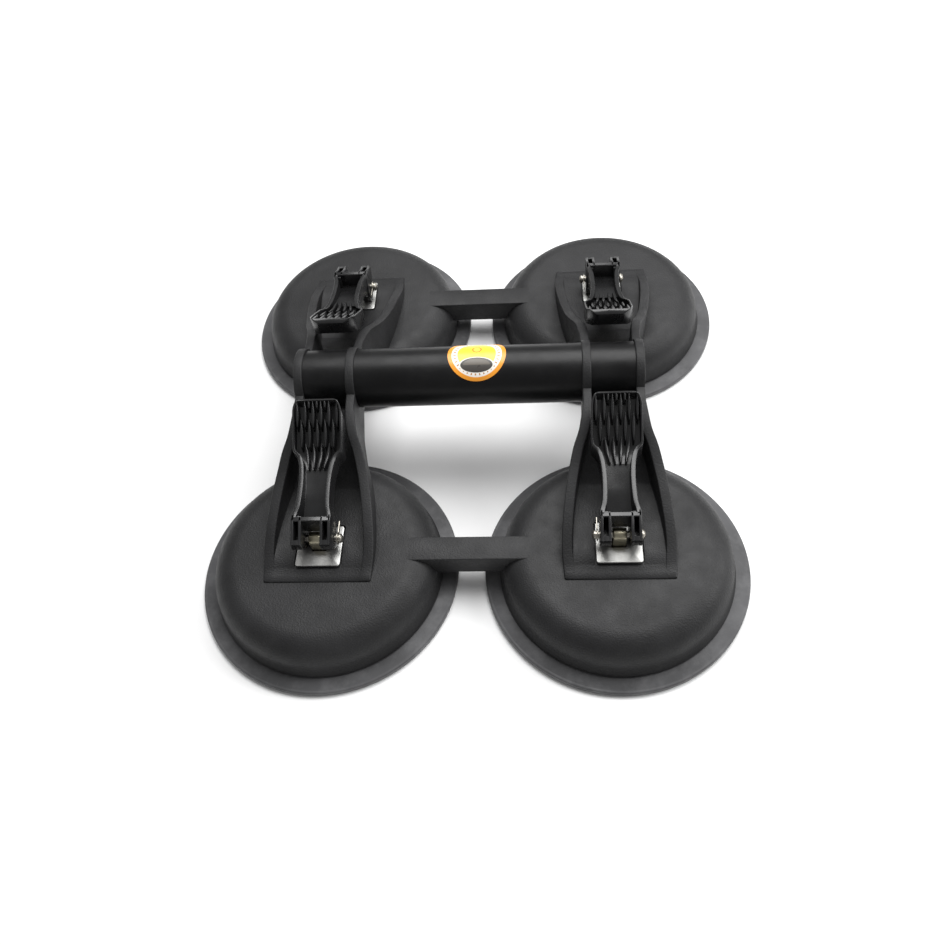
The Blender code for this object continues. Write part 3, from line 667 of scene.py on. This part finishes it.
for cup, (side, end) in cups.items():
    rings = []
    for inset, height in ((0.25, plate_top - plate_thickness), (0, plate_top - plate_thickness + 0.25),
                          (0, plate_top - 0.28), (0.08, plate_top - 0.08), (0.28, plate_top)):
        outline = rounded_rectangle(plate_half - inset, plate_half - inset, plate_corner - inset / 2)
        rings.append([(side * cup_x + x, end * cup_y + y, height) for x, y in outline])
    plate = put_in_scene("cam_plate_" + cup, skinned("cam_plate_" + cup, rings), plate_steel, 50.0)
    slot_outline = rounded_rectangle(slot_across, slot_along, 0.6)
    slot = put_in_scene("cutter", skinned("cutter", [
        [(side * cup_x + x, end * cup_y + y, height) for x, y in slot_outline] for height in (20, 30)]),
        plate_steel)
    carved(plate, [slot])
    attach(plate, "frame")
    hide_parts("wear_plate_" + cup)


# ---------------------------------------------------------------------------------------------
# Stems. A flat tongue of yellow-passivated steel comes up through each plate from the disc in
# the pad's hub, and its round eye takes the lever's pin. The disc itself is zinc-plated steel.
# ---------------------------------------------------------------------------------------------

stem_metal = metal_material("stem_metal", (0.56, 0.53, 0.42), (0.3, 0.42), 0.08, (1, 1, 0.1),
                            (0.30, 0.27, 0.18))
disc_zinc = metal_material("disc_zinc", (0.55, 0.56, 0.58), (0.34, 0.5), 0.1)

pin_height = 32.3
eye_radius = 3.1
stem_half_width = 2.9
stem_half_thickness = 2.3
stem_root = 8.4
foot_radius = 5.2
foot_neck = 2.9
disc_radius = 15.0
disc_bore = 3.05
disc_bottom, disc_top = 6.1, 8.1
pin_radius = 1.6
pin_clearance = 0.15


def softened_slab(name, outline, low_side, high_side, edge, placed):
    """A flat outline given thickness, its edges rounded; placed turns (a, b, height) into a point."""
    count = len(outline)
    corners = []
    for index, (x, y) in enumerate(outline):
        before, after = outline[index - 1], outline[(index + 1) % count]
        first = Vector((x - before[0], y - before[1])).normalized()
        second = Vector((after[0] - x, after[1] - y)).normalized()
        bend = first + second
        bend = bend.normalized() if bend.length > 0.001 else Vector((-first.y, first.x))
        open_out = max(bend.dot(first), 0.5)
        corners.append(Vector((bend.y, -bend.x)) / open_out)
    area = sum(a[0] * b[1] - b[0] * a[1] for a, b in zip(outline, outline[1:] + outline[:1]))
    inwards = -1 if area > 0 else 1
    rings = []
    for inset, height in ((edge, low_side), (0.3 * edge, low_side + 0.3 * edge), (0, low_side + edge),
                          (0, high_side - edge), (0.3 * edge, high_side - 0.3 * edge), (edge, high_side)):
        rings.append([placed(x + inwards * inset * lean.x, y + inwards * inset * lean.y, height)
                      for (x, y), lean in zip(outline, corners)])
    return skinned(name, rings)


def pin_bore(radius, across, along, reach):
    """A cutter on the line of a pin, to both sides of a place."""
    return cutting_cylinder(radius, (across - reach, along, pin_height),
                            (across + reach, along, pin_height), 32)


for cup, (side, end) in cups.items():
    middle_x, middle_y = side * cup_x, end * cup_y
    eye = sweep((0, pin_height), eye_radius, -29, 209, 20)
    neck = pin_height - eye_radius
    tongue = eye + [(-stem_half_thickness, neck), (-stem_half_thickness, stem_root),
                    (stem_half_thickness, stem_root), (stem_half_thickness, neck)]

    def standing(along, height, across):
        return (middle_x + across, middle_y + along, height)

    stem = put_in_scene("lift_stem_" + cup, softened_slab("lift_stem_" + cup, tongue, -stem_half_width,
                                                          stem_half_width, 0.45, standing), stem_metal)
    carved(stem, [pin_bore(pin_radius + pin_clearance, middle_x, middle_y, 20)])
    foot = [(0, stem_root + 1.6), (foot_radius - 0.4, stem_root + 1.6), (foot_radius, stem_root + 1.2),
            (foot_radius, stem_root), (foot_neck, stem_root), (foot_neck, disc_bottom), (0, disc_bottom)]
    foot_piece = put_in_scene("stem_foot_" + cup, spun("stem_foot_" + cup, foot, 48, (middle_x, middle_y, 0)),
                              stem_metal)
    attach(stem, "centre_" + cup)
    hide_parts("stem_" + cup)
    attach(foot_piece, "centre_" + cup)
    disc_profile = [(disc_bore, disc_top), (disc_radius - 0.4, disc_top), (disc_radius, disc_top - 0.4),
                    (disc_radius, disc_bottom + 0.4), (disc_radius - 0.4, disc_bottom),
                    (disc_bore, disc_bottom)]
    disc = put_in_scene("hub_disc_" + cup, spun("hub_disc_" + cup, disc_profile, 72, (middle_x, middle_y, 0)),
                        disc_zinc)
    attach(disc, "centre_" + cup)
    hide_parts("insert_disc_" + cup)


# ---------------------------------------------------------------------------------------------
# Cam levers. Each is a separate moulding of black ABS: a fork whose rounded underside is the
# cam, a waisted shank with raised rails, and a thumb grip that rises towards the handle.
# Tapered ribs in staggered rows, with slots between them, give the thumb its hold.
# ---------------------------------------------------------------------------------------------

lever_abs = moulding_material("lever_abs", (0.011, 0.011, 0.0115), (0.24, 0.33), 1600.0, 0.00003, 0.55,
                              dust=((0.06, 0.06, 0.062), 0.10))

fork_half = 8.6
fork_gap = 4.1
fork_tip = 7.7
fork_tip_height = 8.1
fork_skin = 1.2
pocket_floor = 4.0
pocket_start = -5.7
fork_wall = 12.7
wall_start, wall_end = 1.54, 3.9
fork_back = 5.2
cam_closed = 6.1
cam_drop = 2.0
cam_angle = math.radians(55.0)
heel = 33.6
heel_top = 17.6
heel_blend = 2.5
tip_reach = 55.2
tip_top = 31.0
grip_start_soft = 2.6
grip_half = 11.2
grip_corner = 6.5
well_end = 27.6
well_floor = ((3.9, 5.3), (7.5, 5.3), (16.0, 9.4), (well_end, 13.36))
eye_room = 3.7
eye_room_end = 10.2
end_wall = 2.2
nose_rise = 1.6
grip_sink = 4.6
rail_width = 2.1
rim_width = 0.9

lever_waists = [(fork_back - 1.5, fork_half), (fork_back, 8.5), (fork_back + 4.0, 7.5), (18.5, 7.1),
                (25.0, 7.4), (30.0, 8.2), (33.2, 9.4), (34.6, 11.0), (38.0, grip_half),
                (50.7, grip_half - 0.2)]


def lever_half(reach):
    """Half width of a lever at a distance from its pin."""
    if reach > tip_reach - grip_corner:
        past = min(reach - (tip_reach - grip_corner), grip_corner)
        return grip_half - 0.2 - grip_corner + math.sqrt(grip_corner ** 2 - past ** 2)
    return flowing(lever_waists, reach)


def lever_top(reach):
    """Height of the rails over the pin."""
    if reach < heel - heel_blend:
        return shared(fork_wall, heel_top, max(reach - fork_back, 0) / (heel - fork_back))
    if reach > heel + heel_blend:
        return shared(heel_top, tip_top, min((reach - heel) / (tip_reach - grip_start_soft - heel), 1))
    share = (reach - heel + heel_blend) / (2 * heel_blend)
    first = heel_top - heel_blend * (heel_top - fork_wall) / (heel - fork_back)
    last = heel_top + heel_blend * (tip_top - heel_top) / (tip_reach - grip_start_soft - heel)
    return (1 - share) ** 2 * first + 2 * share * (1 - share) * heel_top + share ** 2 * last


lever_bellies = [(fork_back + 1.5, -1.0), (12.1, 5.0), (heel, 9.1), (53.6, 21.4)]


def lever_belly(reach):
    """Height of the underside over the pin."""
    for (start, low_end), (stop, high_end) in zip(lever_bellies, lever_bellies[1:]):
        if reach <= stop:
            return shared(low_end, high_end, max(reach - start, 0) / (stop - start))
    return lever_bellies[-1][1] + (reach - lever_bellies[-1][0]) * 0.9


def lever_floor(reach):
    """Height of the floor: a well behind the fork that climbs to the heel, then the bottom of the slots."""
    for (start, first), (stop, last) in zip(well_floor, well_floor[1:]):
        if reach <= stop:
            return shared(first, last, max(reach - start, 0) / (stop - start))
    return lever_top(reach) - grip_sink


def lever_point(side, end, across, along, height):
    """A point of a lever, from its pin towards the handle, on the cup at that side and end."""
    return (side * cup_x - end * across, end * (cup_y - along), pin_height + height)


def joined(name, meshes, material):
    """One piece from several overlapping meshes."""
    work = bmesh.new()
    for mesh in meshes:
        work.from_mesh(mesh)
        bpy.data.meshes.remove(mesh)
    whole = bpy.data.meshes.new(name)
    work.to_mesh(whole)
    work.free()
    return put_in_scene(name, whole, material, 38.0)


def cam_underside():
    """The cam's outline, from its flat rest to the stop at the fork's tip."""
    slope = cam_drop / cam_angle
    line = []
    for step in range(13):
        angle = cam_angle * step / 12
        reach = cam_closed - slope * angle
        line.append((slope * math.cos(angle) - reach * math.sin(angle),
                     -slope * math.sin(angle) - reach * math.cos(angle)))
    last_along, last_height = line[-1]
    return line + [(-fork_tip, last_height + (fork_tip + last_along) * math.tan(cam_angle))]


def shank_rings(side, end):
    """Sections of the shank and grip, from the fork's back wall to the grip's round end."""
    places = [wall_end - 0.9, wall_end + 0.6, fork_back, 6.7] + [8.0 + 1.6 * step for step in range(14)]
    places += [eye_room_end, eye_room_end + 0.01, 7.5, well_end, well_end + 0.02]
    places += [heel - heel_blend + 0.7 * step for step in range(8)]
    places += [heel + 4.0 + 1.5 * step for step in range(9)]
    places += [tip_reach - grip_corner * (1 - math.sin(math.radians(6 * step))) for step in range(13)]
    places += [tip_reach - end_wall - 0.01, tip_reach - end_wall, tip_reach - 1.0, tip_reach - 0.25]
    rings = []
    for reach in sorted(set(places)):
        outer = lever_half(reach)
        grip_share = min(max((reach - heel + 3.0) / 6.0, 0), 1)
        inner = outer - shared(rail_width, rim_width, grip_share)
        ridge = lever_top(reach)
        if reach > tip_reach - grip_start_soft:
            past = reach - (tip_reach - grip_start_soft)
            ridge = tip_top - grip_start_soft + math.sqrt(max(grip_start_soft ** 2 - past ** 2, 0.0004))
        belly = lever_belly(reach)
        if reach > tip_reach - nose_rise:
            belly = lever_bellies[-1][1] + reach - (tip_reach - nose_rise)
        floor = lever_floor(reach)
        if reach > tip_reach - end_wall - 0.005:
            floor = ridge
        roof = max(eye_room, belly) if reach <= eye_room_end else belly
        section = channel_section(outer, max(inner, 0.8), ridge, floor, belly, roof, 0.35)
        rings.append([lever_point(side, end, across, reach, height) for across, height in section])
    return rings


def fork_walls():
    """The slabs of one side of the fork as (outline, near, far, edge, bored), near and far from its
    middle: two thin walls, and between them a low fill, a lip at the tip and a block at the back, which
    leave the pocket open. The pin goes through those that are bored."""
    under = cam_underside()
    top = [(-fork_tip, fork_tip_height), (-fork_tip / 2, fork_tip_height + 1.4), (wall_start, fork_wall)]
    foot = [(fork_back + 1.5, -1.0), (fork_back, -cam_closed + 0.3), (fork_back - 0.3, -cam_closed)]
    outer = under + top + [(fork_back - 0.5, fork_wall), (fork_back, fork_wall - 0.6),
                           (fork_back + 2.2, 2.2)] + foot
    inner = under + top + [(wall_end - 0.1, fork_wall), (wall_end - 0.1, 5.0), (fork_back + 0.5, 5.0)] + foot
    fill = under[:-1] + [(-7.1, 3.0), (-7.1, pocket_floor), (fork_back + 0.5, pocket_floor)] + foot
    lip = [(-6.2, 1.8), (pocket_start, 1.8), (pocket_start, 8.8), (-fork_tip + 0.1, fork_tip_height),
           (-fork_tip + 0.1, 3.9)]
    back = [(fork_back + 1.0, 3.5), (fork_back - 0.1, fork_wall - 1.6), (fork_back - 0.6, fork_wall - 1.0),
            (wall_start, fork_wall - 1.0), (wall_start, 3.5)]
    near, far = fork_gap + fork_skin - 0.1, fork_half - fork_skin + 0.1
    return [(outer, fork_half - fork_skin, fork_half, 0.25, True),
            (inner, fork_gap, fork_gap + fork_skin, 0.25, True), (fill, near, far, 0.25, True),
            (lip, near, far, 0.1, False), (back, near, far, 0.1, False)]


def spindle(side, end, middle, start, stop, widest, height, sink, blunt, drift):
    """A tapered rib of the grip, widest in its middle and rounded on top; drift leans it outwards."""
    rings = []
    steps = 10
    for step in range(steps + 1):
        share = step / steps
        reach = shared(start, stop, share)
        swell = math.sin(math.pi * share) ** 0.7
        half = widest * max(swell, blunt) / 2
        crown = lever_top(reach) + height * (0.25 + 0.75 * swell) - 0.5
        base = lever_top(reach) - sink
        section = [(-half - 0.25, base), (-half - 0.05, crown - 0.5)]
        section += [(half * math.cos(angle), crown - 0.5 + 0.5 * math.sin(angle))
                    for angle in (math.radians(180 - 22.5 * turn) for turn in range(1, 8))]
        section += [(half + 0.05, crown - 0.5), (half + 0.25, base)]
        rings.append([lever_point(side, end, middle + drift * share + across, reach, level)
                      for across, level in section])
    return skinned("rib", rings)


# Rows of ribs: how many, pitch where they start and stop, start, stop, width, rise, root, bluntness
rib_rows = [
    (6, 3.6, 3.6, 43.6, 52.8, 1.3, 0.1, 0.2, 0.25),
    (5, 3.6, 3.6, 36.2, 46.2, 1.3, 0.1, 0.3, 0.25),
    (4, 2.3, 3.6, 27.0, 37.4, 1.25, 0.2, 0.3, 0.4),
    (3, 3.6, 3.6, 50.6, 53.2, 1.0, 0.0, 0.2, 0.8),
]

for cup, (side, end) in cups.items():
    meshes = [skinned("shank", shank_rings(side, end))]

    def fork_place(along, height, across):
        return lever_point(side, end, across, along, height)

    for hand in (-1, 1):
        for outline, near, far, edge, bored in fork_walls():
            low_side, high_side = sorted((hand * near, hand * far))
            slab = softened_slab("fork", outline, low_side, high_side, edge, fork_place)
            if bored:
                wall = put_in_scene("fork_wall", slab, lever_abs)
                carved(wall, [pin_bore(pin_radius + pin_clearance, side * cup_x, end * cup_y, 20)])
                slab = wall.data
                bpy.data.objects.remove(wall, do_unlink=True)
            meshes.append(slab)
    cross = [(wall_start, 3.9), (wall_start, fork_wall - 0.3), (wall_start + 0.3, fork_wall),
             (wall_end - 0.4, fork_wall), (wall_end - 0.1, fork_wall - 0.3), (wall_end, 5.6),
             (wall_end + 0.6, 3.9)]
    meshes.append(softened_slab("fork", cross, -fork_half + 0.02, fork_half - 0.02, 0.3, fork_place))
    for count, pitch, last_pitch, first, last, widest, rise, root, blunt in rib_rows:
        for index in range(count):
            place = index - (count - 1) / 2
            meshes.append(spindle(side, end, pitch * place, first, last, widest, rise, grip_sink + root,
                                  blunt, (last_pitch - pitch) * place))
    lever = joined("cam_lever_" + cup, meshes, lever_abs)
    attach(lever, "cam_lever_" + cup)
    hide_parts("lever_" + cup)


# ---------------------------------------------------------------------------------------------
# Pivot pins and clips. A nickel-plated steel pin with a domed head goes through the fork and
# the stem's eye from the outer side, and a spring clip with a thin tab holds it inside.
# ---------------------------------------------------------------------------------------------

pin_nickel = metal_material("pin_nickel", (0.50, 0.475, 0.42), (0.32, 0.42), 0.0)

pin_head = 2.6
pin_head_depth = 2.3
pin_end = 2.1
clip_radius = 2.7
clip_thickness = 0.8
clip_sheet = 0.5
clip_clearance = 0.1
clip_tab_half = 0.9
clip_tab_height = 8.5
clip_lean = math.radians(85.0)

for cup, (side, end) in cups.items():
    face = fork_half + 0.3
    tail = -(face + clip_thickness + 0.6)
    head = [(radius, face + (height - face) * pin_head_depth / pin_head)
            for radius, height in sweep((0, face), pin_head, 90, 8, 10)]
    shaft = [(pin_head - 0.15, face), (pin_radius, face), (pin_radius, tail)]
    peen = [(pin_end, tail), (pin_end, tail - 0.7), (pin_end - 0.5, tail - 1.2), (0.8, tail - 1.6),
            (0, tail - 1.6)]
    head[0] = (0, head[0][1])
    pin_mesh = spun("pivot_pin_" + cup, head + shaft + peen, 48)
    stand = Matrix.Translation(metres((side * cup_x, end * cup_y, pin_height)))
    pin_mesh.transform(stand @ Matrix.Rotation(side * math.pi / 2, 4, "Y"))
    pin = put_in_scene("pivot_pin_" + cup, pin_mesh, pin_nickel)
    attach(pin, "centre_" + cup)
    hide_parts("pin_" + cup)

    clip_outline = sweep((0, 0), clip_radius, 110, 430, 30)
    clip_outline += [(clip_tab_half, clip_tab_height - 0.5), (clip_tab_half - 0.5, clip_tab_height),
                     (-clip_tab_half + 0.5, clip_tab_height), (-clip_tab_half, clip_tab_height - 0.5)]
    clip_middle = side * cup_x - side * (face + clip_thickness / 2 + 0.3)

    def clip_place(along, height, across):
        inwards = along * math.cos(clip_lean) + height * math.sin(clip_lean)
        upright = height * math.cos(clip_lean) - along * math.sin(clip_lean)
        return (clip_middle + across, end * (cup_y - inwards), pin_height + upright)

    clip = put_in_scene("spring_clip_" + cup, softened_slab("spring_clip_" + cup, clip_outline,
                                                            -clip_sheet / 2, clip_sheet / 2, 0.12,
                                                            clip_place), pin_nickel)
    carved(clip, [pin_bore(pin_radius + clip_clearance, clip_middle, end * cup_y, 5)])
    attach(clip, "centre_" + cup)
    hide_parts("clip_" + cup)


# ---------------------------------------------------------------------------------------------
# The table it stands on, and the light. A flat white sheet of paper in even light from all round,
# with a big soft box above and behind and a weaker one at the right.
# ---------------------------------------------------------------------------------------------

def paper_material():
    material = bpy.data.materials.new("white_paper")
    material.use_nodes = True
    nodes, links = material.node_tree.nodes, material.node_tree.links
    shader = nodes["Principled BSDF"]
    place = nodes.new("ShaderNodeTexCoord")
    fibre = nodes.new("ShaderNodeTexNoise")
    fibre.inputs["Scale"].default_value = 60.0
    links.new(place.outputs["Object"], fibre.inputs["Vector"])
    tone = nodes.new("ShaderNodeMapRange")
    tone.inputs["To Min"].default_value = 0.88
    tone.inputs["To Max"].default_value = 0.92
    links.new(fibre.outputs["Fac"], tone.inputs["Value"])
    links.new(tone.outputs["Result"], shader.inputs["Base Color"])
    shader.inputs["Roughness"].default_value = 0.9
    shader.inputs["Specular IOR Level"].default_value = 0.1
    return material


paper_half = 6000.0
paper = put_in_scene("paper", skinned("paper", [
    [(-paper_half, -paper_half, -0.2 - depth), (paper_half, -paper_half, -0.2 - depth),
     (paper_half, paper_half, -0.2 - depth), (-paper_half, paper_half, -0.2 - depth)]
    for depth in (2, 0)]), paper_material())

world = bpy.data.worlds.new("studio")
bpy.context.scene.world = world
world.use_nodes = True
world.node_tree.nodes["Background"].inputs["Color"].default_value = (1.0, 1.0, 1.0, 1.0)
world.node_tree.nodes["Background"].inputs["Strength"].default_value = 0.31


def soft_box(name, place, aim, size, power):
    """A rectangular lamp that looks at a point."""
    lamp = bpy.data.lights.new(name, "AREA")
    lamp.shape = "RECTANGLE"
    lamp.size, lamp.size_y = size
    lamp.energy = power
    stand = bpy.data.objects.new(name, lamp)
    bpy.context.scene.collection.objects.link(stand)
    stand.location = place
    stand.rotation_mode = "QUATERNION"
    stand.rotation_quaternion = (Vector(aim) - Vector(place)).to_track_quat("-Z", "Y")
    return stand


soft_box("top_box", (0.15, 0.45, 1.0), (0, 0, 0), (1.0, 0.8), 16.5)
soft_box("right_box", (0.95, 0.1, 0.6), (0, 0, 0), (0.5, 0.5), 6.5)
bpy.context.scene.view_settings.view_transform = "Standard"


# ---------------------------------------------------------------------------------------------
# The camera. It looks down at the lifter from in front, a little from the right, and is rolled
# a few degrees to one side.
# ---------------------------------------------------------------------------------------------

lens = 32.481
aim = Vector((5.2367, -27.0161, 0.0))
distance = 425.13
yaw, elevation, roll = math.radians(7.6712), math.radians(56.19), math.radians(-7.4405)

back = Vector((math.sin(yaw) * math.cos(elevation), -math.cos(yaw) * math.cos(elevation),
               math.sin(elevation)))
across = Vector((0, 0, 1)).cross(back).normalized()
upwards = back.cross(across)
turned_across = math.cos(roll) * across + math.sin(roll) * upwards
turned_up = -math.sin(roll) * across + math.cos(roll) * upwards
camera_data = bpy.data.cameras.new("camera")
camera_data.lens = lens
camera_data.sensor_width = 36.0
camera_data.shift_x = -0.014785
camera_data.shift_y = 0.007532
camera_data.clip_start = 0.01
camera_data.clip_end = 20.0
camera = bpy.data.objects.new("camera", camera_data)
bpy.context.scene.collection.objects.link(camera)
camera.rotation_mode = "QUATERNION"
camera.rotation_quaternion = Matrix((turned_across, turned_up, back)).transposed().to_quaternion()
camera.location = metres(aim + back * distance)
bpy.context.scene.camera = camera
